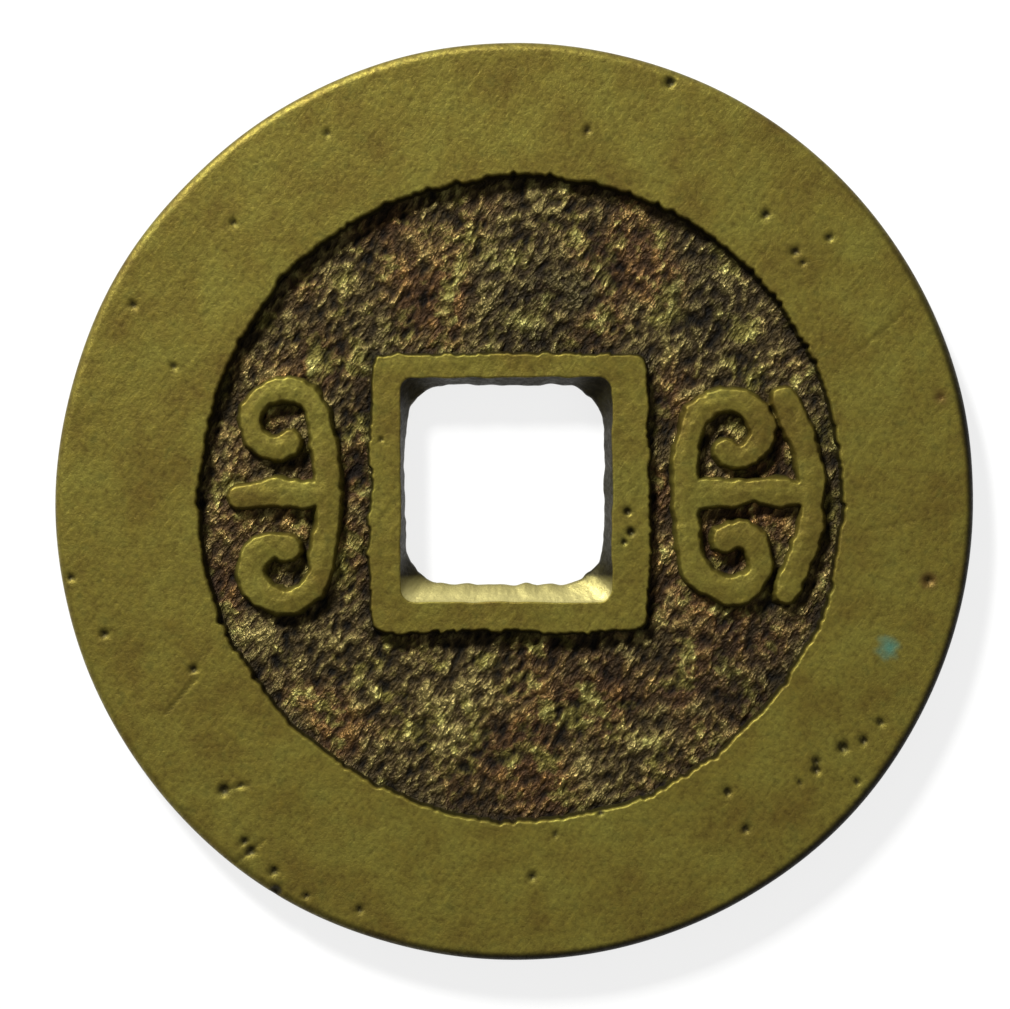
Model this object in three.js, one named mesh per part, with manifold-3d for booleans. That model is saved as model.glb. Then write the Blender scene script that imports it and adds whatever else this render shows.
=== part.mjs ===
// A cast brass cash coin with a square hole, lying flat on its back rim with its face up.
// Millimetres, +Z up. The origin is the centre of the coin's back, on the plane that the coin rests on.
// The coin is one casting. Its regions are separate solids that meet face to face.
import * as THREE from 'three';
import { mergeVertices } from 'three/addons/utils/BufferGeometryUtils.js';
import Module from 'manifold-3d';

const wasm = await Module();
wasm.setup();

// The whole coin
const coinDiameter = 27.0;
const coinThickness = 1.2;
const edgeRounding = 0.28;

// The sunken ground, which the worn mould left a little off the coin's centre
const recessDiameter = 18.88;
const recessCentre = new THREE.Vector2(0.19, 0.09);
const frontRecessDepth = 0.4;
const backRecessDepth = 0.3;

// The raised square rim round the hole
const squareRimWidth = 8.1;
const squareRimCorner = 0.3;
const squareRimCentre = new THREE.Vector2(-0.13, 0.24);

// The hole: a filed mouth on the face, which narrows to a throat with rounded corners
const mouthWidth = 6.16;
const mouthHeight = 6.55;
const mouthCorner = 0.35;
const mouthCentre = new THREE.Vector2(-0.24, 0.33);
const throatWidth = 5.88;
const throatCorner = 1.3;
const throatCentre = new THREE.Vector2(-0.29, 0.49);
const throatTop = 0.55;

// The raised scrolls
const scrollStroke = 0.75;
const faceScrollHeight = 0.36;
const backScrollHeight = 0.25;
const leftScrollShift = -0.2;

// Numbers of steps in the round outlines
const circleSteps = 96;
const cornerSteps = 6;
const roundingSteps = 3;
const curlSteps = 20;
const stemSteps = 10;
const capSteps = 6;

// Heights that follow from the sizes above
const groundTop = coinThickness - frontRecessDepth;
const groundBottom = backRecessDepth;

// The band of ground beside the square rim, which the scrolls fill
const bandWidth = (recessDiameter - squareRimWidth) / 2;
const bandDistance = (recessDiameter + squareRimWidth) / 4;
const bandCentre = recessCentre.clone().add(squareRimCentre).multiplyScalar(0.5);
const leftScrollCentre = new THREE.Vector2(bandCentre.x - bandDistance + leftScrollShift, bandCentre.y);
const rightScrollCentre = new THREE.Vector2(bandCentre.x + bandDistance, bandCentre.y);

const wornBrass = new THREE.MeshStandardMaterial({ color: 0x736730, roughness: 0.55, metalness: 0.85 });
const castBrass = new THREE.MeshStandardMaterial({ color: 0x4a3f24, roughness: 0.8, metalness: 0.6 });

// A circle as a closed loop of points, anticlockwise
function circleLoop(centre, radius) {
  const points = [];
  for (let step = 0; step < circleSteps; step += 1) {
    const angle = (2 * Math.PI * step) / circleSteps;
    points.push(new THREE.Vector2(centre.x + radius * Math.cos(angle), centre.y + radius * Math.sin(angle)));
  }
  return points;
}

// A rectangle with round corners, as a closed loop of points, anticlockwise
function roundedLoop(centre, width, height, corner) {
  const points = [];
  const signs = [[1, 1], [-1, 1], [-1, -1], [1, -1]];
  signs.forEach(([signX, signY], quarter) => {
    const cornerX = centre.x + signX * (width / 2 - corner);
    const cornerY = centre.y + signY * (height / 2 - corner);
    for (let step = 0; step <= cornerSteps; step += 1) {
      const angle = (Math.PI / 2) * (quarter + step / cornerSteps);
      points.push(new THREE.Vector2(cornerX + corner * Math.cos(angle), cornerY + corner * Math.sin(angle)));
    }
  });
  return points;
}

// A closed ring-shaped solid through a list of loops, each at its own height.
// The loops go up the outside, across the top, down the hole and back under the first one.
function ringSolid(levels) {
  const count = levels[0].loop.length;
  const positions = [];
  levels.forEach(({ loop, height }) => {
    loop.forEach((point) => positions.push(point.x, point.y, height));
  });
  const index = [];
  levels.forEach((level, row) => {
    const nextRow = (row + 1) % levels.length;
    for (let step = 0; step < count; step += 1) {
      const nextStep = (step + 1) % count;
      const a = row * count + step;
      const b = row * count + nextStep;
      const c = nextRow * count + nextStep;
      const d = nextRow * count + step;
      index.push(a, b, c, a, c, d);
    }
  });
  const geometry = new THREE.BufferGeometry();
  geometry.setAttribute('position', new THREE.Float32BufferAttribute(positions, 3));
  geometry.setIndex(index);
  geometry.computeVertexNormals();
  return geometry;
}

// The outline of a stroke of even width along a line of points, with round ends
function strokeOutline(line, width) {
  const half = width / 2;
  const last = line.length - 1;
  const directions = line.map((point, step) => {
    const before = line[Math.max(step - 1, 0)];
    const after = line[Math.min(step + 1, last)];
    return after.clone().sub(before).normalize();
  });
  const side = (step, turn) => {
    const across = directions[step].clone().rotateAround(new THREE.Vector2(), turn);
    return line[step].clone().addScaledVector(across, half);
  };
  const outline = [];
  line.forEach((point, step) => outline.push(side(step, -Math.PI / 2)));
  for (let cap = 1; cap < capSteps; cap += 1) {
    outline.push(side(last, -Math.PI / 2 + (Math.PI * cap) / capSteps));
  }
  for (let step = last; step >= 0; step -= 1) {
    outline.push(side(step, Math.PI / 2));
  }
  for (let cap = 1; cap < capSteps; cap += 1) {
    outline.push(side(0, Math.PI / 2 + (Math.PI * cap) / capSteps));
  }
  return outline;
}

// A curl that winds inwards from its outer radius, in shares of the band; angles are in degrees
function curlLine({ x, y, outer, inner, start, sweep }) {
  const line = [];
  for (let step = 0; step <= curlSteps; step += 1) {
    const share = step / curlSteps;
    const angle = THREE.MathUtils.degToRad(start + sweep * share);
    const radius = outer + (inner - outer) * share;
    const point = new THREE.Vector2(x + radius * Math.cos(angle), y + radius * Math.sin(angle));
    line.push(point.multiplyScalar(bandWidth));
  }
  return line;
}

// A bowed stem through its two ends, pulled towards a middle point, in shares of the band
function stemLine({ from, pull, to }) {
  const [start, middle, end] = [from, pull, to].map(
    ([x, y]) => new THREE.Vector2(x, y).multiplyScalar(bandWidth),
  );
  return new THREE.QuadraticBezierCurve(start, middle, end).getPoints(stemSteps);
}

// A vertical prism of an outline, between two heights
function prism(outline, bottom, top) {
  const geometry = new THREE.ExtrudeGeometry(new THREE.Shape(outline), {
    depth: top - bottom,
    bevelEnabled: false,
  });
  geometry.translate(0, 0, bottom);
  return geometry;
}

function toManifold(geometry) {
  const bare = geometry.clone();
  bare.deleteAttribute('normal');
  bare.deleteAttribute('uv');
  const merged = mergeVertices(bare, 1e-5);
  return new wasm.Manifold(new wasm.Mesh({
    numProp: 3,
    vertProperties: new Float32Array(merged.attributes.position.array),
    triVerts: new Uint32Array(merged.index.array),
  }));
}

function toGeometry(solid) {
  const mesh = solid.getMesh();
  const geometry = new THREE.BufferGeometry();
  geometry.setAttribute('position', new THREE.Float32BufferAttribute(mesh.vertProperties, 3));
  geometry.setIndex(Array.from(mesh.triVerts));
  geometry.computeVertexNormals();
  return geometry;
}

// A raised scroll: its curls and stems joined into one solid, turned and moved to its place
function scrollSolid({ curls, stems }, centre, turn, bottom, top) {
  const lines = [...curls.map(curlLine), ...stems.map(stemLine)];
  const strokes = lines.map((line) => {
    const outline = strokeOutline(line, scrollStroke).map((point) => {
      const turned = point.clone().rotateAround(new THREE.Vector2(), turn);
      return turned.add(centre);
    });
    return toManifold(prism(outline, bottom, top));
  });
  return toGeometry(strokes.reduce((joined, stroke) => joined.add(stroke)));
}

// Left of the hole: two curls and a bud that open away from the hole
const leftScroll = {
  curls: [
    { x: 0, y: 0.38, outer: 0.23, inner: 0.1, start: 0, sweep: 300 },
    { x: 0, y: -0.38, outer: 0.23, inner: 0.1, start: 0, sweep: -300 },
  ],
  stems: [
    { from: [0.23, 0.38], pull: [0.3, 0], to: [0.23, -0.38] },
    { from: [0.24, 0], pull: [0.04, 0.03], to: [-0.2, 0] },
  ],
};

// Right of the hole: a wider cloud of two curls with a bowed band outside them
const rightScroll = {
  curls: [
    { x: -0.07, y: 0.32, outer: 0.24, inner: 0.09, start: 180, sweep: -300 },
    { x: -0.07, y: -0.32, outer: 0.24, inner: 0.09, start: 180, sweep: 300 },
  ],
  stems: [
    { from: [-0.31, 0.32], pull: [-0.36, 0], to: [-0.31, -0.32] },
    { from: [0.21, 0.53], pull: [0.5, 0], to: [0.21, -0.53] },
    { from: [-0.33, 0], pull: [0, 0.04], to: [0.35, 0] },
  ],
};

// On the back: four like scrolls, one on each side of the hole
const backScroll = {
  curls: [
    { x: 0.02, y: 0.32, outer: 0.22, inner: 0.1, start: 180, sweep: -300 },
    { x: 0.02, y: -0.32, outer: 0.22, inner: 0.1, start: 180, sweep: 300 },
  ],
  stems: [
    { from: [-0.2, 0.32], pull: [-0.28, 0], to: [-0.2, -0.32] },
    { from: [-0.22, 0], pull: [0.08, 0], to: [0.28, 0] },
  ],
};

// The broad outer rim, with its outer edge rounded on both faces
function outerRim() {
  const coinCentre = new THREE.Vector2(0, 0);
  const coinRadius = coinDiameter / 2;
  const levels = [];
  for (let step = 0; step <= roundingSteps; step += 1) {
    const angle = ((Math.PI / 2) * step) / roundingSteps;
    levels.push({
      loop: circleLoop(coinCentre, coinRadius - edgeRounding * (1 - Math.sin(angle))),
      height: edgeRounding * (1 - Math.cos(angle)),
    });
  }
  for (let step = 0; step <= roundingSteps; step += 1) {
    const angle = ((Math.PI / 2) * step) / roundingSteps;
    levels.push({
      loop: circleLoop(coinCentre, coinRadius - edgeRounding * (1 - Math.cos(angle))),
      height: coinThickness - edgeRounding * (1 - Math.sin(angle)),
    });
  }
  const recess = circleLoop(recessCentre, recessDiameter / 2);
  levels.push({ loop: recess, height: coinThickness });
  levels.push({ loop: recess, height: 0 });
  return ringSolid(levels);
}

const squareRimLoop = roundedLoop(squareRimCentre, squareRimWidth, squareRimWidth, squareRimCorner);

// The thin ground plate, which fills the recess round the square rim
function groundPlate() {
  const shape = new THREE.Shape(circleLoop(recessCentre, recessDiameter / 2));
  shape.holes.push(new THREE.Path(squareRimLoop));
  const geometry = new THREE.ExtrudeGeometry(shape, { depth: groundTop - groundBottom, bevelEnabled: false });
  geometry.translate(0, 0, groundBottom);
  return geometry;
}

// The square rim, with the mouth and the throat of the hole inside it
function squareRim() {
  const mouth = roundedLoop(mouthCentre, mouthWidth, mouthHeight, mouthCorner);
  const throat = roundedLoop(throatCentre, throatWidth, throatWidth, throatCorner);
  return ringSolid([
    { loop: squareRimLoop, height: 0 },
    { loop: squareRimLoop, height: coinThickness },
    { loop: mouth, height: coinThickness },
    { loop: throat, height: throatTop },
    { loop: throat, height: 0 },
  ]);
}

const coin = new THREE.Group();

function addPiece(name, geometry, material) {
  const mesh = new THREE.Mesh(geometry, material);
  mesh.name = name;
  coin.add(mesh);
}

addPiece('outer_rim', outerRim(), wornBrass);
addPiece('ground', groundPlate(), castBrass);
addPiece('inner_rim', squareRim(), wornBrass);

const faceTop = groundTop + faceScrollHeight;
addPiece('left_scroll', scrollSolid(leftScroll, leftScrollCentre, 0, groundTop, faceTop), wornBrass);
addPiece('right_scroll', scrollSolid(rightScroll, rightScrollCentre, 0, groundTop, faceTop), wornBrass);

const backLow = groundBottom - backScrollHeight;
['right', 'top', 'left', 'bottom'].forEach((place, quarter) => {
  const turn = (Math.PI / 2) * quarter;
  const centre = new THREE.Vector2(bandDistance, 0).rotateAround(new THREE.Vector2(), turn).add(bandCentre);
  addPiece(`back_${place}_scroll`, scrollSolid(backScroll, centre, turn, backLow, groundBottom), wornBrass);
});

export default coin;
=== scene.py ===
"""A worn cast brass cash coin with a square hole: its relief, its finishes and its studio."""
import math

import bpy
import numpy as np
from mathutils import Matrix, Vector


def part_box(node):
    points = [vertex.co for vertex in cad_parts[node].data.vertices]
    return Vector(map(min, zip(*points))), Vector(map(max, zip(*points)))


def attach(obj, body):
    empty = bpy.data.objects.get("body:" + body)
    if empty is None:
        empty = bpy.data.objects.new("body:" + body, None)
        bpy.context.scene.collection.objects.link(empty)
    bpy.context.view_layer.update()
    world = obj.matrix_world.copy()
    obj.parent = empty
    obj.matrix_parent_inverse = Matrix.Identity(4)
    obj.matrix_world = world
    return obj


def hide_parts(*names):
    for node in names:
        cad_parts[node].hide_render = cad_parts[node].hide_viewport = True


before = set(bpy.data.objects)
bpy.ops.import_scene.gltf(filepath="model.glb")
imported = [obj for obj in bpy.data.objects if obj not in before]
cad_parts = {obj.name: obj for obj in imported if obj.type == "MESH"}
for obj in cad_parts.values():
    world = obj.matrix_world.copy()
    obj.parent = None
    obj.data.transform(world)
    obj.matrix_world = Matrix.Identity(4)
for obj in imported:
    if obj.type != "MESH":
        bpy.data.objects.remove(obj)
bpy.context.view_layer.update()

bl_info = {
    "name": "Cast Cash Coin",
    "version": (1, 0, 0),
    "blender": (4, 5, 0),
    "location": "3D View > Sidebar > Coin",
    "description": "Builds the worn relief and the finishes of a cast brass cash coin",
    "category": "Object",
}

# Metres in a millimetre
MM = 0.001

# The coin's size, in millimetres, from the frame
COIN_LOW, COIN_HIGH = [np.array(corner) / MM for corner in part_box("outer_rim")]
COIN_RADIUS = float(COIN_HIGH[0] - COIN_LOW[0]) / 2
COIN_THICKNESS = float(COIN_HIGH[2] - COIN_LOW[2])
GROUND_LOW, GROUND_HIGH = [np.array(corner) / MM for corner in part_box("ground")]
GROUND_BOTTOM = float(GROUND_LOW[2])
GROUND_TOP = float(GROUND_HIGH[2])
RECESS_CENTRE = (GROUND_LOW[:2] + GROUND_HIGH[:2]) / 2
RECESS_RADIUS = float(GROUND_HIGH[0] - GROUND_LOW[0]) / 2
SQUARE_LOW, SQUARE_HIGH = [np.array(corner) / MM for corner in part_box("inner_rim")]
SQUARE_CENTRE = (SQUARE_LOW[:2] + SQUARE_HIGH[:2]) / 2
SQUARE_HALF = float(SQUARE_HIGH[0] - SQUARE_LOW[0]) / 2

# Steps of the relief meshes
RIM_STEPS = 1080
GROUND_STEPS = 640
SQUARE_STEPS = 760
SCROLL_CELL = 0.032

# Darker patches of the face's ground, in millimetres: x, y, radius, amount
DARK_PATCHES = (
    (1.0, 5.6, 2.4, 0.6), (5.4, 6.0, 1.8, 0.45), (6.6, -4.9, 2.2, 0.45), (-3.9, 4.9, 0.9, 0.3),
    (2.6, -5.2, 1.6, 0.3),
)

# The side where the outer edge is painted dark with shade, away from the key lamp, as an angle from +X
EDGE_SHADE_SIDE = math.radians(-40)

# The lean of the cast grain
GRAIN_SLANT = math.radians(60)

# Dents and pits of the face's rims, in millimetres: x, y, radius, depth
RIM_PITS = (
    (4.55, 12.24, 0.13, 0.16), (2.13, 10.85, 0.1, 0.12), (7.34, 8.38, 0.12, 0.14),
    (9.2, 7.7, 0.11, 0.12), (8.2, 7.3, 0.12, 0.13), (8.43, 6.97, 0.09, 0.1),
    (-5.48, 10.76, 0.09, 0.1), (-8.22, 8.15, 0.1, 0.12), (-11.16, 5.74, 0.11, 0.12),
    (-9.98, 3.94, 0.1, 0.1), (-12.0, -3.88, 0.12, 0.14), (-12.98, -2.23, 0.1, 0.12),
    (-9.39, -4.91, 0.12, 0.14), (-8.5, -8.44, 0.16, 0.16), (-8.0, -8.3, 0.1, 0.1),
    (-7.72, -10.23, 0.14, 0.16), (-7.9, -9.95, 0.12, 0.14), (-7.04, -10.81, 0.13, 0.14),
    (-6.98, -11.38, 0.16, 0.16), (-6.1, -11.53, 0.1, 0.12), (-4.54, -11.94, 0.11, 0.12),
    (1.19, -9.73, 0.09, 0.1), (0.52, -10.96, 0.12, 0.12), (2.51, -9.11, 0.1, 0.1),
    (6.22, -8.5, 0.12, 0.14), (6.75, -9.58, 0.12, 0.12), (8.81, -7.85, 0.13, 0.16),
    (8.81, -7.6, 0.12, 0.14), (9.6, -7.2, 0.16, 0.16), (10.2, -7.0, 0.13, 0.14),
    (10.69, -6.47, 0.12, 0.12), (8.33, -8.23, 0.09, 0.1), (10.01, -8.2, 0.1, 0.12),
    (12.1, -2.32, 0.13, 0.16), (12.45, 3.03, 0.1, 0.08), (3.3, -0.3, 0.12, 0.12),
    (3.4, -0.9, 0.12, 0.14), (3.2, -1.2, 0.09, 0.1), (-3.9, 1.8, 0.08, 0.06),
)

# Longer scratches of the face: start x and y, end x and y, half width, depth
RIM_SCRATCHES = (
    (9.87, 4.24, 11.57, 5.65, 0.035, 0.02), (10.16, -0.91, 11.72, -0.55, 0.03, 0.02),
    (-9.33, -5.2, -10.19, -6.2, 0.04, 0.035), (-7.34, -9.91, -8.13, -10.55, 0.05, 0.04),
    (-8.5, -8.44, -7.78, -8.29, 0.05, 0.04), (-12.86, 2.62, -12.3, 3.2, 0.03, 0.02),
)

# The blue-green patch of corrosion on the face's rim: x, y, radius
VERDIGRIS_SPOT = (10.92, -4.29, 0.42)

# Brown corrosion on the face's rim, as a ring and as a spot: x, y, radius
BROWN_RING = (12.1, -2.32, 0.16)
BROWN_SPOT = (12.45, 3.03, 0.22)

# The power of the superellipse that the square rim follows
SQUARENESS = 22.0

# The level where the hole's throat starts, and the wear of the mouth's edge, in millimetres
THROAT_TOP = 0.55
MOUTH_WEAR = 0.08

# The levels of the rows on a wall, as shares of its height
WALL_SHARES = (0.12, 0.3, 0.45, 0.6, 0.75, 0.88)

# The way the rims were brushed
BRUSH_ANGLE = math.radians(-52)

# The ground's red-brown stains and its olive patches, each from the lows to the grains
STAIN_COLOURS = ("#120c06", "#3d2a15", "#6e522a")
PATCH_COLOURS = ("#221e0b", "#5f5725", "#969050")

# The lamps, all aimed at the coin: name, place and size in metres, power in watts
LAMPS = (
    ("key_lamp", (-0.17, 0.30, 0.23), 0.07, 4.0),
    ("fill_lamp", (0.30, -0.20, 0.30), 0.30, 0.25),
)

# The light of the world, and the floor's half width and depth below the coin, in metres
WORLD_STRENGTH = 0.24
FLOOR_HALF = 2.0
FLOOR_DROP = 0.00002

# The share of pure white in the floor as it is seen. The rest is lit, and keeps the shadow.
FLOOR_WHITE_SHARE = 0.8


def lattice_noise(x, y, size, seed):
    """Smooth noise from -1 to 1 whose lumps are about size millimetres across."""
    lattice = np.random.default_rng(seed).uniform(-1.0, 1.0, (256, 256))
    u = x / size + 1000.0
    v = y / size + 1000.0
    column = np.floor(u).astype(int)
    row = np.floor(v).astype(int)
    across = u - column
    up = v - row
    across = across * across * (3.0 - 2.0 * across)
    up = up * up * (3.0 - 2.0 * up)
    low = lattice[row % 256, column % 256] * (1 - across) + lattice[row % 256, (column + 1) % 256] * across
    high = (lattice[(row + 1) % 256, column % 256] * (1 - across)
            + lattice[(row + 1) % 256, (column + 1) % 256] * across)
    return low * (1 - up) + high * up


def cast_grain(x, y, seed):
    """The sand grain of the mould: steep slanting lumps of 0.13 to 0.3 mm on slow waves."""
    along = x * math.cos(GRAIN_SLANT) + y * math.sin(GRAIN_SLANT)
    across = y * math.cos(GRAIN_SLANT) - x * math.sin(GRAIN_SLANT)
    grain = lattice_noise(along / 1.8, across, 0.13, seed)
    grain = grain + 0.7 * lattice_noise(along / 1.5, across, 0.22, seed + 1)
    return grain + 0.45 * lattice_noise(along, across, 0.9, seed + 2)


def ragged(x, y, amount, seed):
    """How far a cast wall wanders to either side: slow bends with a few small bites."""
    bend = 0.8 * lattice_noise(x, y, 1.7, seed) + 0.4 * lattice_noise(x, y, 0.5, seed + 100)
    bite = np.maximum(lattice_noise(x, y, 0.21, seed + 200) - 0.15, 0.0)
    teeth = 0.3 * lattice_noise(x, y, 0.12, seed + 300)
    return amount * (bend + bite * 1.3 + teeth)


def rounding(distance, radius):
    """How far a rounded edge drops, at a distance inside it."""
    inside = np.clip(distance, 0.0, radius)
    return radius - np.sqrt(np.maximum(radius ** 2 - (radius - inside) ** 2, 0.0))


def face_marks(x, y):
    """How deep the pits and scratches of the face go at each point."""
    depth = np.zeros_like(x)
    for pit_x, pit_y, radius, deep in RIM_PITS:
        away = ((x - pit_x) ** 2 + (y - pit_y) ** 2) / radius ** 2
        depth = np.maximum(depth, deep * np.exp(-away * 1.4))
    for start_x, start_y, end_x, end_y, half, deep in RIM_SCRATCHES:
        away = segment_distance(x, y, np.array([[start_x, start_y]]), np.array([[end_x, end_y]]))
        depth = np.maximum(depth, deep * np.exp(-(away / half) ** 2))
    return depth


def segment_distance(x, y, starts, ends):
    """The distance from each point to the nearest of some straight segments."""
    nearest = np.full(x.shape, 1e9)
    for start, end in zip(starts, ends):
        along = end - start
        length = float(along @ along) or 1e-12
        share = np.clip(((x - start[0]) * along[0] + (y - start[1]) * along[1]) / length, 0.0, 1.0)
        gap = np.hypot(x - start[0] - share * along[0], y - start[1] - share * along[1])
        nearest = np.minimum(nearest, gap)
    return nearest


def node_outline(name, height):
    """The edges of a node's flat face at a height, as two lists of points in millimetres."""
    mesh = bpy.data.objects[name].data
    points = np.array([vertex.co[:] for vertex in mesh.vertices]) / MM
    keys = np.round(points, 4)
    count = {}
    for face in mesh.polygons:
        corners = [tuple(keys[index]) for index in face.vertices]
        if max(abs(corner[2] - height) for corner in corners) > 0.01:
            continue
        for start, end in zip(corners, corners[1:] + corners[:1]):
            edge = (start[:2], end[:2])
            count[edge] = count.get(edge, 0) + 1
    edges = [edge for edge in count if (edge[1], edge[0]) not in count]
    if not edges:
        raise RuntimeError("No flat face found on " + name)
    return np.array([edge[0] for edge in edges]), np.array([edge[1] for edge in edges])


def inside_outline(x, y, starts, ends):
    """Which points lie inside the outline."""
    crossings = np.zeros(x.shape, dtype=int)
    for (start_x, start_y), (end_x, end_y) in zip(starts, ends):
        if start_y == end_y:
            continue
        spans = (start_y > y) != (end_y > y)
        meets = start_x + (y - start_y) * (end_x - start_x) / (end_y - start_y)
        crossings += (spans & (x < meets)).astype(int)
    return crossings % 2 == 1


def new_piece(name, vertices, faces, uvs, attributes):
    """A mesh object from points in millimetres, with its unwrapped map and its named masks."""
    mesh = bpy.data.meshes.new(name)
    mesh.from_pydata((np.asarray(vertices) * MM).tolist(), [], np.asarray(faces).tolist())
    layer = mesh.uv_layers.new(name="OFBake")
    layer.data.foreach_set("uv", np.asarray(uvs, dtype=np.float32).ravel())
    for label, values in attributes.items():
        attribute = mesh.attributes.new(label, "FLOAT", "POINT")
        attribute.data.foreach_set("value", np.asarray(values, dtype=np.float32).ravel())
    mesh.shade_smooth()
    mesh.update()
    piece = bpy.data.objects.new(name, mesh)
    bpy.context.scene.collection.objects.link(piece)
    return piece


def ring_piece(name, plan, heights, kinds, attributes):
    """A closed ring from rows of points. kinds says, row by row, which side the faces belong to."""
    rows, count = heights.shape
    vertices = np.dstack([plan[..., 0], plan[..., 1], heights]).reshape(-1, 3)
    row = np.arange(rows)[:, None]
    step = np.arange(count)[None, :]
    next_row = (row + 1) % rows
    next_step = (step + 1) % count
    corners = [(row, step), (next_row, step), (next_row, next_step), (row, next_step)]
    faces = np.stack([a * count + b for a, b in corners], axis=-1).reshape(-1, 4)
    # The two faces share the lower half of the map, and the walls are strips above them
    flat = plan / (2.1 * COIN_RADIUS) + 0.5
    uvs = np.zeros((rows, count, 4, 2))
    strips = {"outside": 0.56, "hole": 0.78}
    for kind in ("top", "bottom", "outside", "hole"):
        chosen = [index for index, label in enumerate(kinds) if label == kind]
        for place, index in enumerate(chosen):
            for corner, (add_row, add_step) in enumerate(((0, 0), (1, 0), (1, 1), (0, 1))):
                if kind in strips:
                    uvs[index, :, corner, 0] = (np.arange(count) + add_step) / count
                    uvs[index, :, corner, 1] = strips[kind] + 0.18 * (place + add_row) / len(chosen)
                    continue
                point = np.roll(flat[(index + add_row) % rows], -add_step, axis=0)
                uvs[index, :, corner] = point * 0.5
                if kind == "bottom":
                    uvs[index, :, corner, 0] += 0.5
    masks = {label: values.reshape(-1) for label, values in attributes.items()}
    return new_piece(name, vertices, faces, uvs.reshape(-1, 2), masks)


def dress(piece, nodes, material):
    """Gives a piece its finish, hangs it under the root body and hides the nodes that it stands for."""
    piece.data.materials.append(material)
    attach(piece, "root")
    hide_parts(*nodes)


def linear(hex_colour):
    """A colour written as sRGB hex, as linear red, green and blue."""
    value = hex_colour.lstrip("#")
    channels = [int(value[index:index + 2], 16) / 255.0 for index in (0, 2, 4)]
    return [c / 12.92 if c <= 0.04045 else ((c + 0.055) / 1.055) ** 2.4 for c in channels] + [1.0]


def add_node(tree, kind, sockets=None, **settings):
    """Adds one node with its settings; each socket gets a value or a link."""
    node = tree.nodes.new(kind)
    for label, value in settings.items():
        setattr(node, label, value)
    for key, value in (sockets or {}).items():
        if isinstance(value, bpy.types.NodeSocket):
            tree.links.new(value, node.inputs[key])
        else:
            node.inputs[key].default_value = value
    return node


def blank_material(name):
    """A new material and its empty tree."""
    material = bpy.data.materials.new(name)
    material.use_nodes = True
    material.node_tree.nodes.clear()
    return material, material.node_tree


def mix_colour(tree, factor, first, second, blend="MIX"):
    """Mixes two colours, each a value or a link. The numbers are the mix node's colour sockets."""
    node = tree.nodes.new("ShaderNodeMix")
    node.data_type = "RGBA"
    node.blend_type = blend
    for index, value in ((0, factor), (6, first), (7, second)):
        if isinstance(value, bpy.types.NodeSocket):
            tree.links.new(value, node.inputs[index])
        else:
            node.inputs[index].default_value = value
    return node.outputs[2]


def ramp(tree, factor, stops):
    """A colour or grey band: each stop is a place and a linear colour."""
    node = add_node(tree, "ShaderNodeValToRGB", {"Fac": factor})
    band = node.color_ramp
    while len(band.elements) < len(stops):
        band.elements.new(0.5)
    for element, (place, colour) in zip(band.elements, stops):
        element.position = place
        element.color = colour
    return node.outputs["Color"]


def grey(level):
    """An even grey, as a colour of a ramp."""
    return (level, level, level, 1.0)


def millimetre_place(tree):
    """Each point's place in millimetres, which sizes the noises."""
    place = add_node(tree, "ShaderNodeTexCoord").outputs["Object"]
    return add_node(tree, "ShaderNodeMapping", {"Vector": place, "Scale": (1 / MM,) * 3}).outputs[0]


def turned_place(tree, place, angle, scale):
    """A place turned about Z and then stretched."""
    turned = add_node(tree, "ShaderNodeMapping", {"Vector": place, "Rotation": (0, 0, angle)})
    return add_node(tree, "ShaderNodeMapping", {"Vector": turned.outputs[0], "Scale": scale}).outputs[0]


def noise(tree, place, scale, detail, roughness):
    """Soft noise from 0 to 1."""
    return add_node(tree, "ShaderNodeTexNoise", {
        "Vector": place, "Scale": scale, "Detail": detail, "Roughness": roughness}).outputs["Fac"]


def mask(tree, label):
    """One of the masks that the points of a piece carry."""
    return add_node(tree, "ShaderNodeAttribute", attribute_name=label).outputs["Fac"]


def cast_metal(tree, base, rough, bump):
    """Ends a finish as old brass, dulled by its patina."""
    shader = add_node(tree, "ShaderNodeBsdfPrincipled", {
        "Base Color": base, "Metallic": 0.7, "Roughness": rough, "Specular IOR Level": 0.25,
        "Normal": bump.outputs[0]})
    add_node(tree, "ShaderNodeOutputMaterial", {"Surface": shader.outputs[0]})


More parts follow.
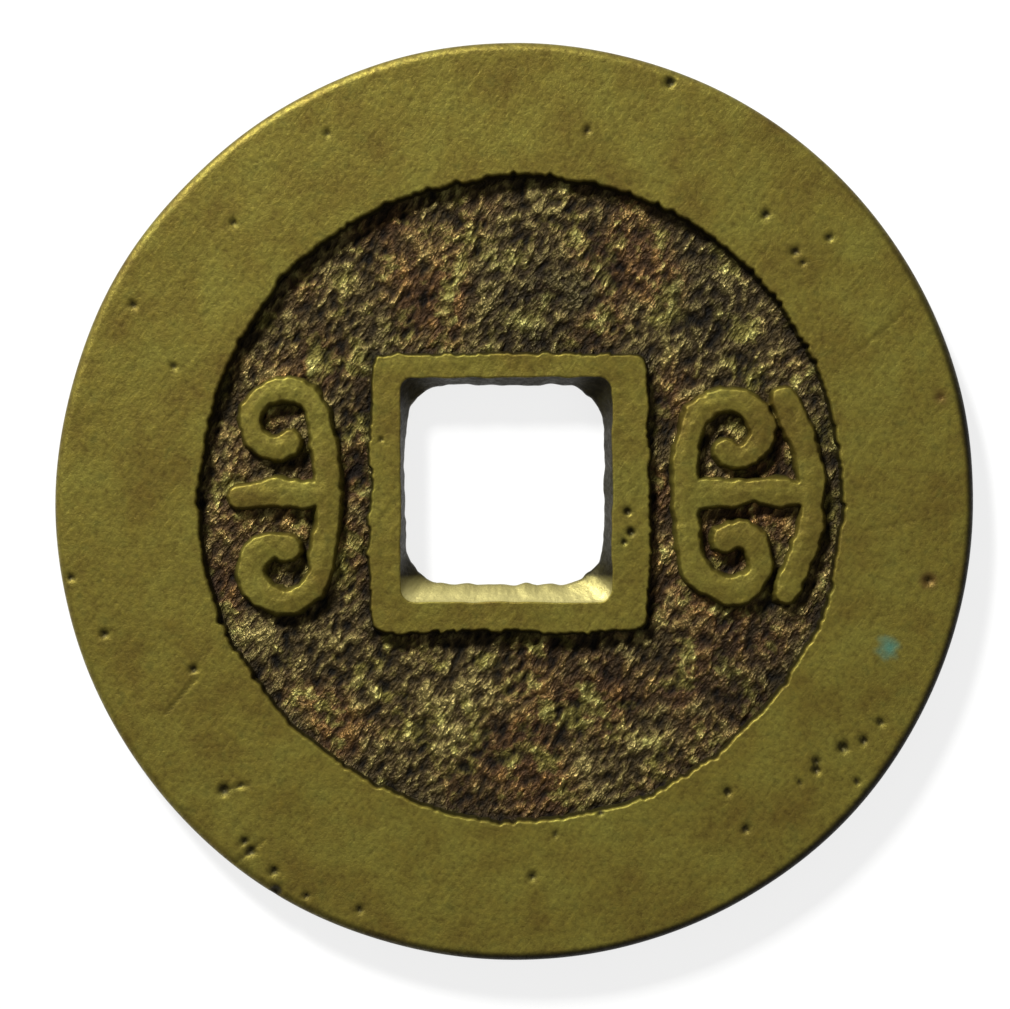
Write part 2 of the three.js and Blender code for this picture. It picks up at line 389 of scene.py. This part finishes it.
def rubbed_brass():
    """Cast brass, rubbed by handling: olive brown, matte, brushed in places, dark in its pits, with painted
    shade on its walls, in the hole and on one side of its edge, and a painted highlight on the hole's lower
    wall.
    """
    colours = bpy.context.scene.coin_colours
    material, tree = blank_material("rubbed_brass")
    place = millimetre_place(tree)
    # Soft stains of 1 to 3 mm
    stains = noise(tree, place, 0.6, 6.0, 0.62)
    # Metal grain of about 0.15 mm
    grain = noise(tree, place, 6.5, 5.0, 0.7)
    # Filing lines about 0.1 mm apart
    lines = noise(tree, turned_place(tree, place, BRUSH_ANGLE, (0.5, 6.0, 1.0)), 1.0, 4.0, 0.65)
    # Flecks of old patina, 0.2 to 0.5 mm, left in the lows
    flecks = noise(tree, place, 2.4, 3.0, 0.6)
    base = ramp(tree, stains, [
        (0.32, linear(colours.brass_brown)), (0.5, linear(colours.brass)),
        (0.7, linear(colours.brass_olive))])
    speck = ramp(tree, grain, [(0.3, (0.5, 0.46, 0.4, 1)), (0.52, grey(1.0)), (0.75, (1.45, 1.42, 1.3, 1))])
    base = mix_colour(tree, 0.9, base, speck, "MULTIPLY")
    line_tint = ramp(tree, lines, [(0.3, (0.8, 0.79, 0.76, 1)), (0.7, (1.16, 1.15, 1.12, 1))])
    base = mix_colour(tree, 0.45, base, line_tint, "MULTIPLY")
    fleck_share = ramp(tree, flecks, [(0.6, grey(0.0)), (0.72, grey(0.55))])
    base = mix_colour(tree, fleck_share, base, linear(colours.fleck))
    # The first mask below darkens with dirt and painted shade; the last one lightens with filed brass and a
    # painted highlight
    for label, colour in (("dirt_and_shade", colours.dirt_and_shade), ("rust", colours.rust), ("verdigris", colours.verdigris),
                          ("bare", colours.bare_brass)):
        base = mix_colour(tree, mask(tree, label), base, linear(colour))
    rough = ramp(tree, grain, [(0.3, grey(0.62)), (0.7, grey(0.42))])
    fine = add_node(tree, "ShaderNodeBump", {"Height": lines, "Strength": 0.35, "Distance": 0.00003})
    bump = add_node(tree, "ShaderNodeBump", {
        "Height": grain, "Strength": 0.45, "Distance": 0.00005, "Normal": fine.outputs[0]})
    cast_metal(tree, base, rough, bump)
    return material


def sand_cast_brass():
    """Brass left as the sand mould made it: rough, dark brown in its lows and rubbed olive on its grains,
    with dirt and painted shade near the rims.
    """
    colours = bpy.context.scene.coin_colours
    material, tree = blank_material("sand_cast_brass")
    place = millimetre_place(tree)
    # Patches where the patina is rubbed through to olive, 0.5 to 1.5 mm wide
    patches = noise(tree, place, 0.9, 4.0, 0.65)
    # Slow red-brown stains
    stains = noise(tree, place, 0.45, 4.0, 0.6)
    # Slanting grit, about 0.15 mm across
    grit = noise(tree, turned_place(tree, place, -GRAIN_SLANT, (3.2, 7.0, 5.0)), 1.0, 3.0, 0.6)
    mixed = add_node(tree, "ShaderNodeMath", {0: mask(tree, "grain"), 1: grit}, operation="ADD").outputs[0]
    mixed = add_node(tree, "ShaderNodeMath", {0: mixed, 1: 0.5}, operation="MULTIPLY").outputs[0]
    browns = ramp(tree, mixed, [
        (0.3, linear(colours.ground_low)), (0.5, linear(colours.ground)),
        (0.66, linear(colours.ground_high))])
    reds = ramp(tree, mixed, list(zip((0.3, 0.5, 0.68), map(linear, STAIN_COLOURS))))
    olives = ramp(tree, mixed, list(zip((0.3, 0.5, 0.66), map(linear, PATCH_COLOURS))))
    red_share = ramp(tree, stains, [(0.46, grey(0.0)), (0.58, grey(1.0))])
    olive_share = ramp(tree, patches, [(0.52, grey(0.0)), (0.64, grey(1.0))])
    base = mix_colour(tree, red_share, browns, reds)
    base = mix_colour(tree, olive_share, base, olives)
    # The mask below darkens with dirt, the dark patches and painted shade near the rims' walls
    base = mix_colour(tree, mask(tree, "dirt_and_shade"), base, linear(colours.dirt_and_shade))
    rough = ramp(tree, mixed, [(0.35, grey(0.7)), (0.68, grey(0.3))])
    bump = add_node(tree, "ShaderNodeBump", {"Height": grit, "Strength": 1.0, "Distance": 0.00022})
    cast_metal(tree, base, rough, bump)
    return material


def finish(name, maker):
    """A finish by its name, made the first time that it is asked for."""
    return bpy.data.materials.get(name) or maker()


class CoinSizes(bpy.types.PropertyGroup):
    """Sizes of the wear and the casting marks, in metres."""
    edge_radius: bpy.props.FloatProperty(
        name="Edge radius", description="Rounding of the outer edge", default=0.00028, unit="LENGTH")
    rim_corner: bpy.props.FloatProperty(
        name="Rim corner", description="Worn rounding where a rim meets the ground", default=0.00006,
        unit="LENGTH")
    grain_depth: bpy.props.FloatProperty(
        name="Grain depth", description="Height of the cast grain", default=0.000085, unit="LENGTH")
    rag: bpy.props.FloatProperty(
        name="Raggedness", description="How far the cast walls wander", default=0.00009, unit="LENGTH")


def colour_property(name, description, default):
    """A setting that holds one colour."""
    return bpy.props.StringProperty(name=name, description=description, default=default)


class CoinColours(bpy.types.PropertyGroup):
    """Colours of the finishes, as sRGB hex."""
    brass: colour_property("Brass", "Worn brass", "#6a6025")
    brass_brown: colour_property("Brown brass", "Brown stains of the worn brass", "#5e501e")
    brass_olive: colour_property("Olive brass", "Olive stains of the worn brass", "#706a2b")
    # Used only on the hole's lower wall, where the key lamp falls: filed brass with a painted highlight
    bare_brass: colour_property("Bare brass", "Filed wall of the hole", "#a39a62")
    # Near-black of the dirt and of the painted shade in pits, at the feet of walls, in the hole and on the
    # edge's shaded side
    dirt_and_shade: colour_property("Dirt", "Dark dirt in pits and corners", "#070503")
    fleck: colour_property("Flecks", "Old patina left in the lows of the rims", "#4f4a1c")
    rust: colour_property("Brown spot", "Brown corrosion", "#55401c")
    verdigris: colour_property("Verdigris", "Blue-green corrosion", "#4f7560")
    ground: colour_property("Ground", "Patina of the ground", "#3a2f17")
    ground_low: colour_property("Ground lows", "Lows of the ground", "#0f0c06")
    ground_high: colour_property("Ground grains", "Rubbed grains of the ground", "#73673a")


def rim_masks(x, y, depth, wall):
    """Where dirt and painted shade, brown spots and verdigris lie on a rim's face and walls."""
    spot_x, spot_y, radius = VERDIGRIS_SPOT
    wander = 0.25 * lattice_noise(x, y, 0.2, 91)
    away = np.hypot(x - spot_x, y - spot_y) / radius + wander
    green = np.clip(1.3 - 1.3 * away, 0.0, 1.0)
    ring_x, ring_y, ring_radius = BROWN_RING
    ring = np.exp(-((np.hypot(x - ring_x, y - ring_y) - ring_radius) / 0.12) ** 2)
    brown_x, brown_y, brown_radius = BROWN_SPOT
    brown = np.exp(-(np.hypot(x - brown_x, y - brown_y) / brown_radius) ** 2)
    # Pits darken with their depth, and the walls and the edge band add painted shade
    dirt_and_shade = np.clip(depth / 0.07, 0.0, 1.0) * 0.85
    return {
        "dirt_and_shade": np.clip(np.maximum(dirt_and_shade, wall), 0.0, 1.0),
        "rust": np.clip(np.maximum(ring, brown) * 0.8, 0.0, 1.0),
        "verdigris": green,
    }


class COIN_OT_outer_rim(bpy.types.Operator):
    """Builds the broad outer rim with its worn edges, pits and scratches"""
    bl_idname = "coin.outer_rim"
    bl_label = "Outer rim"

    def execute(self, context):
        sizes = context.scene.coin_sizes
        edge = sizes.edge_radius / MM
        corner = sizes.rim_corner / MM
        rag = sizes.rag / MM
        angle = np.linspace(0.0, 2 * math.pi, RIM_STEPS, endpoint=False)
        circle = np.stack([np.cos(angle), np.sin(angle)], axis=-1)
        wander = ragged(RECESS_RADIUS * circle[:, 0], RECESS_RADIUS * circle[:, 1], rag, 3)
        inner = RECESS_CENTRE + circle * (RECESS_RADIUS + wander)[:, None]
        # The upper left of the coin is worn a little flat
        flattened = 0.1 * np.clip(np.cos(angle - math.radians(130)), 0, 1) ** 4
        worn = 0.035 + 0.03 * lattice_noise(6 * circle[:, 0], 6 * circle[:, 1], 1.5, 5) + flattened
        outer = circle * (COIN_RADIUS - np.clip(worn, 0.0, None))[:, None]
        shares = np.concatenate([np.linspace(0.0, 0.05, 7), np.linspace(0.065, 0.915, 38),
                                 np.linspace(0.93, 1.0, 9)])
        width = np.linalg.norm(outer - inner, axis=1)
        plan, heights, kinds = [], [], []
        for share in shares:
            point = inner + (outer - inner) * share
            x, y = point[:, 0], point[:, 1]
            drop = rounding(share * width, corner) + rounding((1 - share) * width, edge)
            soft = 0.012 + 0.01 * lattice_noise(x, y, 1.6, 6) + 0.004 * lattice_noise(x, y, 0.25, 7)
            plan.append(point)
            heights.append(COIN_THICKNESS - drop - soft - face_marks(x, y))
            kinds.append("top")
        kinds[-1] = "outside"
        for share in (0.25, 0.5, 0.75):
            plan.append(outer)
            heights.append(np.full(RIM_STEPS, COIN_THICKNESS - edge + (2 * edge - COIN_THICKNESS) * share))
            kinds.append("outside")
        for share in shares[::-2]:
            point = inner + (outer - inner) * share
            drop = rounding(share * width, corner) + rounding((1 - share) * width, edge)
            soft = np.clip(0.01 + 0.01 * lattice_noise(point[:, 0], point[:, 1], 1.1, 8), 0.0, None)
            plan.append(point)
            heights.append(drop + soft)
            kinds.append("bottom")
        kinds[-1] = "hole"
        for share in WALL_SHARES:
            height = corner + (COIN_THICKNESS - 2 * corner) * share
            plan.append(inner - circle * wall_foot(height, 0.1))
            heights.append(np.full(RIM_STEPS, height))
            kinds.append("hole")
        plan = np.array(plan)
        heights = np.array(heights)
        x, y = plan[..., 0], plan[..., 1]
        top = heights > COIN_THICKNESS / 2
        depth = np.where(top, face_marks(x, y), 0.0)
        # The rim's inner wall, down to the ground, gets dirt and painted shade
        wall = np.where(np.array(kinds)[:, None] == "hole", 0.8, 0.0)
        # Painted shade: a near-black band on the rounded outer edge, on the side turned away from the key
        # lamp
        from_edge = COIN_RADIUS - np.hypot(x, y)
        shaded_side = np.clip(np.cos(np.arctan2(y, x) - EDGE_SHADE_SIDE) * 1.6, 0.0, 1.0)
        wall = np.maximum(wall, 0.96 * shaded_side * np.exp(-(np.clip(from_edge, 0, None) / 0.27) ** 6))
        masks = rim_masks(x, y, depth, wall)
        masks["verdigris"] = np.where(top, masks["verdigris"], 0.0)
        masks["rust"] = np.where(top, masks["rust"], 0.0)
        piece = ring_piece("coin_outer_rim", plan[::-1], heights[::-1], turned_kinds(kinds),
                           {label: values[::-1] for label, values in masks.items()})
        dress(piece, ["outer_rim"], finish("rubbed_brass", rubbed_brass))
        return {"FINISHED"}


def turned_kinds(kinds):
    """The kinds of the face rows when the rows of points run the other way round."""
    turned = kinds[::-1]
    return turned[1:] + turned[:1]


def square_reach(circle):
    """How far out the square rim lies along each unit direction, for a half width of 1."""
    return (np.abs(circle[:, 0]) ** SQUARENESS + np.abs(circle[:, 1]) ** SQUARENESS) ** (-1.0 / SQUARENESS)


def wall_foot(height, reach):
    """How far a cast wall spreads where it meets the face's ground."""
    return reach * math.exp(-((height - GROUND_TOP) / 0.16) ** 2)


def hole_loop(height, steps):
    """The hole's outline from the solid: points of the level nearest a height, spread by angle."""
    mesh = bpy.data.objects["inner_rim"].data
    points = np.array([vertex.co[:] for vertex in mesh.vertices]) / MM
    level = points[np.abs(points[:, 2] - height) < 0.02][:, :2]
    level = level[np.max(np.abs(level - SQUARE_CENTRE), axis=1) < SQUARE_HALF - 0.3]
    centre = (level.min(axis=0) + level.max(axis=0)) / 2
    order = np.argsort(np.arctan2(level[:, 1] - centre[1], level[:, 0] - centre[0]))
    loop = level[order]
    angle = np.linspace(-math.pi, math.pi, steps, endpoint=False)
    starts, ends = loop, np.roll(loop, -1, axis=0)
    result = np.zeros((steps, 2))
    for step, value in enumerate(angle):
        ray = np.array([math.cos(value), math.sin(value)])
        best = 0.0
        for start, end in zip(starts - SQUARE_CENTRE, ends - SQUARE_CENTRE):
            side = end - start
            bottom = ray[0] * side[1] - ray[1] * side[0]
            if abs(bottom) < 1e-12:
                continue
            reach = (start[0] * side[1] - start[1] * side[0]) / bottom
            share = (start[0] * ray[1] - start[1] * ray[0]) / bottom
            if -1e-6 <= share <= 1 + 1e-6 and reach > best:
                best = reach
        result[step] = SQUARE_CENTRE + ray * best
    return result


class COIN_OT_inner_rim(bpy.types.Operator):
    """Builds the square rim with the flared mouth and the narrow throat of the hole"""
    bl_idname = "coin.inner_rim"
    bl_label = "Square rim"

    def execute(self, context):
        sizes = context.scene.coin_sizes
        corner = sizes.rim_corner / MM
        rag = sizes.rag / MM
        count = SQUARE_STEPS
        angle = np.linspace(-math.pi, math.pi, count, endpoint=False)
        circle = np.stack([np.cos(angle), np.sin(angle)], axis=-1)
        outer = SQUARE_CENTRE + circle * (square_reach(circle) * SQUARE_HALF)[:, None]
        wander = ragged(outer[:, 0], outer[:, 1], rag, 13)
        outer = outer + circle * wander[:, None]
        mouth = hole_loop(COIN_THICKNESS, count)
        throat = hole_loop(0.0, count)
        mouth = mouth + circle * (0.03 * lattice_noise(mouth[:, 0], mouth[:, 1], 0.4, 15))[:, None]
        throat = throat + circle * (0.05 * lattice_noise(throat[:, 0], throat[:, 1], 0.35, 16))[:, None]
        width = np.linalg.norm(outer - mouth, axis=1)
        plan, heights, kinds = [], [], []
        for share in np.concatenate([np.linspace(0, 0.14, 7), np.linspace(0.18, 0.86, 22),
                                     np.linspace(0.9, 1, 6)]):
            point = outer + (mouth - outer) * share
            x, y = point[:, 0], point[:, 1]
            drop = rounding(share * width, corner) + rounding((1 - share) * width, 0.06)
            soft = 0.02 + 0.012 * lattice_noise(x, y, 1.0, 17) + 0.006 * lattice_noise(x, y, 0.2, 18)
            plan.append(point)
            heights.append(COIN_THICKNESS - drop - soft - face_marks(x, y))
            kinds.append("top")
        kinds[-1] = "hole"
        for share in np.linspace(0.12, 1.0, 9):
            point = mouth + (throat - mouth) * share
            rough = 0.012 * lattice_noise(point[:, 0] * 3, heights[-1] + point[:, 1] * 3, 0.3, 19)
            plan.append(point + circle * rough[:, None])
            flare_top = COIN_THICKNESS - MOUTH_WEAR
            heights.append(np.full(count, flare_top + (THROAT_TOP - flare_top) * share))
            kinds.append("hole")
        for height in (0.42, 0.28, 0.14, 0.05):
            rough = 0.01 * lattice_noise(throat[:, 0], throat[:, 1], 0.2, 20)
            plan.append(throat + circle * rough[:, None])
            heights.append(np.full(count, height))
            kinds.append("hole")
        kinds[-1] = "bottom"
        low_width = np.linalg.norm(outer - throat, axis=1)
        for share in np.linspace(0.97, 0.0, 18):
            point = outer + (throat - outer) * share
            drop = rounding(share * low_width, corner)
            soft = np.clip(0.012 + 0.01 * lattice_noise(point[:, 0], point[:, 1], 0.9, 21), 0.0, None)
            plan.append(point)
            heights.append(drop + soft)
            kinds.append("bottom")
        kinds[-1] = "outside"
        for share in WALL_SHARES:
            height = corner + (COIN_THICKNESS - 2 * corner) * share
            plan.append(outer + circle * wall_foot(height, 0.09))
            heights.append(np.full(count, height))
            kinds.append("outside")
        plan = np.array(plan)
        heights = np.array(heights)
        x, y = plan[..., 0], plan[..., 1]
        label = np.array(kinds)[:, None]
        depth = np.where(label == "top", face_marks(x, y), 0.0)
        # Painted shade on the hole's upper, left and right walls, which face away from the key lamp; the
        # lower wall, where that lamp falls, gets lighter bare brass: filed metal with a painted highlight.
        # The rim's outer wall gets dirt and painted shade.
        lower_side = np.clip((SQUARE_CENTRE[1] - y - 2.4) / 0.6, 0.0, 1.0)
        hole_shade = np.where(label == "hole", 0.9 * (1.0 - lower_side), 0.0)
        masks = rim_masks(x, y, depth, np.maximum(np.where(label == "outside", 0.75, 0.0), hole_shade))
        masks["bare"] = np.where(label == "hole", lower_side, 0.0) + np.zeros_like(x)
        masks["verdigris"] = np.zeros_like(x)
        piece = ring_piece("coin_square_rim", plan, heights, kinds, masks)
        dress(piece, ["inner_rim"], finish("rubbed_brass", rubbed_brass))
        return {"FINISHED"}


class COIN_OT_ground(bpy.types.Operator):
    """Builds the sunken ground with the grain of the sand mould"""
    bl_idname = "coin.ground"
    bl_label = "Sunken ground"

    def execute(self, context):
        sizes = context.scene.coin_sizes
        depth = sizes.grain_depth / MM
        count = GROUND_STEPS
        angle = np.linspace(-math.pi, math.pi, count, endpoint=False)
        circle = np.stack([np.cos(angle), np.sin(angle)], axis=-1)
        inner = SQUARE_CENTRE + circle * (square_reach(circle) * (SQUARE_HALF - 0.15))[:, None]
        outer = RECESS_CENTRE + circle * (RECESS_RADIUS + 0.15)
        top_shares = np.linspace(0, 1, 112)
        low_shares = np.linspace(1, 0, 34)
        plan = [inner + (outer - inner) * share for share in np.concatenate([top_shares, low_shares])]
        plan = np.array(plan)
        x, y = plan[..., 0], plan[..., 1]
        grain = cast_grain(x, y, 31)
        low_grain = cast_grain(x + 40, y, 47)
        rows = np.arange(len(plan))[:, None]
        is_top = rows < len(top_shares)
        from_square = np.maximum(np.abs(x - SQUARE_CENTRE[0]), np.abs(y - SQUARE_CENTRE[1])) - SQUARE_HALF
        from_circle = RECESS_RADIUS - np.hypot(x - RECESS_CENTRE[0], y - RECESS_CENTRE[1])
        near = np.minimum(from_square, from_circle)
        fillet = 0.07 * np.exp(-np.clip(near, 0, None) / 0.1)
        heights = np.where(is_top, GROUND_TOP - 0.02 + depth * grain / 1.6 + fillet,
                           GROUND_BOTTOM + 0.02 - depth * low_grain / 1.8 - fillet)
        kinds = ["top"] * (len(top_shares) - 1) + ["outside"] + ["bottom"] * (len(low_shares) - 1) + ["hole"]
        shown = np.where(is_top, grain, low_grain)
        masks = {
            "grain": np.clip(0.5 + shown * 0.3, 0.0, 1.0),
            # Dirt and painted shade darken the ground near the rims' walls
            "dirt_and_shade": 0.85 * np.exp(-np.clip(near, 0, None) / 0.2),
        }
        for patch_x, patch_y, radius, amount in DARK_PATCHES:
            away = np.hypot(x - patch_x, y - patch_y) / radius
            patch = amount * np.exp(-away ** 2) * (1 + 0.5 * lattice_noise(x, y, 0.6, 88))
            masks["dirt_and_shade"] = np.maximum(masks["dirt_and_shade"], np.where(is_top, patch, 0.0))
        turned = {label: values[::-1] for label, values in masks.items()}
        piece = ring_piece("coin_ground", plan[::-1], heights[::-1], turned_kinds(kinds), turned)
        dress(piece, ["ground"], finish("sand_cast_brass", sand_cast_brass))
        return {"FINISHED"}


class COIN_OT_scrolls(bpy.types.Operator):
    """Builds the raised scrolls of both faces, with worn tops and ragged walls"""
    bl_idname = "coin.scrolls"
    bl_label = "Scrolls"

    def execute(self, context):
        places = (("left_scroll", 1), ("right_scroll", 1), ("back_right_scroll", -1),
                  ("back_top_scroll", -1), ("back_left_scroll", -1), ("back_bottom_scroll", -1))
        for index, (node, face) in enumerate(places):
            piece = scroll_piece(node, face, 60 + 7 * index)
            dress(piece, [node], finish("rubbed_brass", rubbed_brass))
        return {"FINISHED"}


def scroll_piece(node, face, seed):
    """A raised scroll as a height field over the outline of its solid. face is 1 for up and -1 for down."""
    low, high = [np.array(corner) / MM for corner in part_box(node)]
    level = high[2] if face > 0 else low[2]
    foot = GROUND_TOP if face > 0 else GROUND_BOTTOM
    rise = abs(level - foot)
    starts, ends = node_outline(node, level)
    margin = 0.16
    foot_depth = 0.16
    sink = 0.1
    columns = np.arange(low[0] - margin, high[0] + margin, SCROLL_CELL)
    rows = np.arange(low[1] - margin, high[1] + margin, SCROLL_CELL)
    x, y = np.meshgrid(columns, rows)
    distance = segment_distance(x, y, starts, ends)
    inside = inside_outline(x, y, starts, ends)
    depth = np.where(inside, distance, -distance)
    depth = depth + 0.04 + 0.09 * lattice_noise(x, y, 0.7, seed) + 0.04 * lattice_noise(x, y, 0.2, seed + 1)
    climb = np.clip((depth + 0.07) / 0.17, 0.0, 1.0)
    climb = climb * climb * (3 - 2 * climb)
    crown = 0.03 * np.clip(depth / 0.35, 0.0, 1.0)
    wear = 0.018 * lattice_noise(x, y, 0.9, seed + 2) + 0.008 * lattice_noise(x, y, 0.2, seed + 3)
    lift = -sink + (rise + sink - 0.045 + crown + wear) * climb
    lift = np.minimum(lift, rise)
    keep = depth > -0.1
    cells = keep[:-1, :-1] & keep[1:, :-1] & keep[:-1, 1:] & keep[1:, 1:]
    count = x.size
    columns_count = x.shape[1]
    index = np.arange(count).reshape(x.shape)
    a, b = index[:-1, :-1][cells], index[:-1, 1:][cells]
    c, d = index[1:, 1:][cells], index[1:, :-1][cells]
    upper = np.stack([a, b, c, d], axis=-1)
    lower = np.stack([a, d, c, b], axis=-1) + count
    padded = np.pad(cells, 1)
    walls = []
    for shift_row, shift_column, first, second in ((-1, 0, (0, 0), (0, 1)), (0, 1, (0, 1), (1, 1)),
                                                   (1, 0, (1, 1), (1, 0)), (0, -1, (1, 0), (0, 0))):
        beyond = padded[1 + shift_row:padded.shape[0] - 1 + shift_row,
                        1 + shift_column:padded.shape[1] - 1 + shift_column]
        row, column = np.nonzero(cells & ~beyond)
        start = (row + first[0]) * columns_count + column + first[1]
        end = (row + second[0]) * columns_count + column + second[1]
        walls.append(np.stack([end, start, start + count, end + count], axis=-1))
    faces = np.concatenate([upper, lower] + walls)
    sunk = foot - face * foot_depth
    top = np.stack([x.ravel(), y.ravel(), (foot + face * lift).ravel()], axis=-1)
    flat = np.stack([x.ravel(), y.ravel(), np.full(count, sunk)], axis=-1)
    vertices = np.concatenate([top, flat])
    if face < 0:
        faces = faces[:, ::-1]
    used, faces = np.unique(faces, return_inverse=True)
    faces = faces.reshape(-1, 4)
    vertices = vertices[used]
    size = max(high[0] - low[0], high[1] - low[1]) + 2 * margin
    local = (vertices[:, :2] - (low[:2] - margin)) / size
    uvs = local * 0.48
    uvs[used >= count] += (0.5, 0.5)
    # Dirt and painted shade at the foot of the scroll and on its sunk base
    dirt_and_shade = np.tile(np.clip(0.85 - climb, 0.0, 0.8).ravel(), 2)[used]
    blank = np.zeros(len(used))
    masks = {"dirt_and_shade": dirt_and_shade, "rust": blank, "verdigris": blank, "bare": blank}
    return new_piece("coin_" + node, vertices, faces, uvs[faces.ravel()], masks)


class COIN_OT_studio(bpy.types.Operator):
    """Sets the pale floor, the soft lamps and the camera straight above the face"""
    bl_idname = "coin.studio"
    bl_label = "Studio"

    def execute(self, context):
        scene = context.scene
        stage_floor(scene)
        set_world(scene)
        for name, place, size, power in LAMPS:
            lamp = bpy.data.lights.new(name, "AREA")
            lamp.energy = power
            lamp.size = size
            lamp_object = bpy.data.objects.new(name, lamp)
            lamp_object.location = place
            lamp_object.rotation_euler = (-Vector(place)).to_track_quat("-Z", "Y").to_euler()
            scene.collection.objects.link(lamp_object)
        set_camera(scene)
        scene.view_settings.view_transform = "Standard"
        return {"FINISHED"}


def stage_floor(scene):
    """A pale floor just under the coin, which shows white and keeps the coin's shadow."""
    material, tree = blank_material("pale_floor")
    matte = add_node(tree, "ShaderNodeBsdfDiffuse", {"Color": linear("#f4f4f2")})
    glow = add_node(tree, "ShaderNodeEmission", {"Color": (1, 1, 1, 1), "Strength": 1.0})
    path = add_node(tree, "ShaderNodeLightPath")
    seen = path.outputs["Is Camera Ray"]
    for ray in ("Is Glossy Ray", "Is Transmission Ray"):
        either = add_node(tree, "ShaderNodeMath", {0: seen, 1: path.outputs[ray]}, operation="MAXIMUM")
        seen = either.outputs[0]
    share = add_node(tree, "ShaderNodeMath", {0: seen, 1: FLOOR_WHITE_SHARE}, operation="MULTIPLY")
    mixed = add_node(tree, "ShaderNodeMixShader", {
        0: share.outputs[0], 1: matte.outputs[0], 2: glow.outputs[0]})
    add_node(tree, "ShaderNodeOutputMaterial", {"Surface": mixed.outputs[0]})
    half = FLOOR_HALF
    mesh = bpy.data.meshes.new("floor")
    corners = [(-half, -half, 0), (half, -half, 0), (half, half, 0), (-half, half, 0)]
    mesh.from_pydata(corners, [], [(0, 1, 2, 3)])
    mesh.materials.append(material)
    floor = bpy.data.objects.new("floor", mesh)
    floor.location = (0, 0, -FLOOR_DROP)
    scene.collection.objects.link(floor)


def set_world(scene):
    """An even soft light from all sides."""
    world = bpy.data.worlds.new("studio")
    scene.world = world
    world.use_nodes = True
    tree = world.node_tree
    tree.nodes.clear()
    soft = add_node(tree, "ShaderNodeBackground", {"Color": (1, 1, 1, 1), "Strength": WORLD_STRENGTH})
    add_node(tree, "ShaderNodeOutputWorld", {"Surface": soft.outputs[0]})


def set_camera(scene):
    """A long lens straight above, placed so that the coin falls where the photograph has it."""
    pixels_wide = 1010
    pixels_high = 1009
    coin_centre_pixel = (514.5, 501.1)
    coin_radius_pixels = 459.2
    millimetres_per_pixel = COIN_RADIUS / coin_radius_pixels
    camera = bpy.data.cameras.new("camera")
    camera.lens = 120.0
    camera.sensor_width = 36.0
    camera.clip_start = 0.005
    middle_x = (pixels_wide / 2 - coin_centre_pixel[0]) * millimetres_per_pixel
    middle_y = (coin_centre_pixel[1] - pixels_high / 2) * millimetres_per_pixel
    view_width = pixels_wide * millimetres_per_pixel
    height = camera.lens * view_width / camera.sensor_width + COIN_THICKNESS / 2
    camera_object = bpy.data.objects.new("camera", camera)
    camera_object.location = (middle_x * MM, middle_y * MM, height * MM)
    scene.collection.objects.link(camera_object)
    scene.camera = camera_object


OPERATORS = (COIN_OT_outer_rim, COIN_OT_inner_rim, COIN_OT_ground, COIN_OT_scrolls, COIN_OT_studio)


class COIN_PT_panel(bpy.types.Panel):
    """Lists the coin's parts and its sizes and colours"""
    bl_label = "Cash coin"
    bl_idname = "COIN_PT_panel"
    bl_space_type = "VIEW_3D"
    bl_region_type = "UI"
    bl_category = "Coin"

    def draw(self, context):
        for group in (context.scene.coin_sizes, context.scene.coin_colours):
            for label in group.bl_rna.properties.keys():
                if label not in ("rna_type", "name"):
                    self.layout.prop(group, label)
        for operator in OPERATORS:
            self.layout.operator(operator.bl_idname)


CLASSES = (CoinSizes, CoinColours) + OPERATORS + (COIN_PT_panel,)


def register():
    for item in CLASSES:
        bpy.utils.register_class(item)
    bpy.types.Scene.coin_sizes = bpy.props.PointerProperty(type=CoinSizes)
    bpy.types.Scene.coin_colours = bpy.props.PointerProperty(type=CoinColours)


def unregister():
    del bpy.types.Scene.coin_colours
    del bpy.types.Scene.coin_sizes
    for item in reversed(CLASSES):
        bpy.utils.unregister_class(item)


def main():
    register()
    bpy.ops.coin.outer_rim()
    bpy.ops.coin.inner_rim()
    bpy.ops.coin.ground()
    bpy.ops.coin.scrolls()
    bpy.ops.coin.studio()


if __name__ == "__main__":
    main()
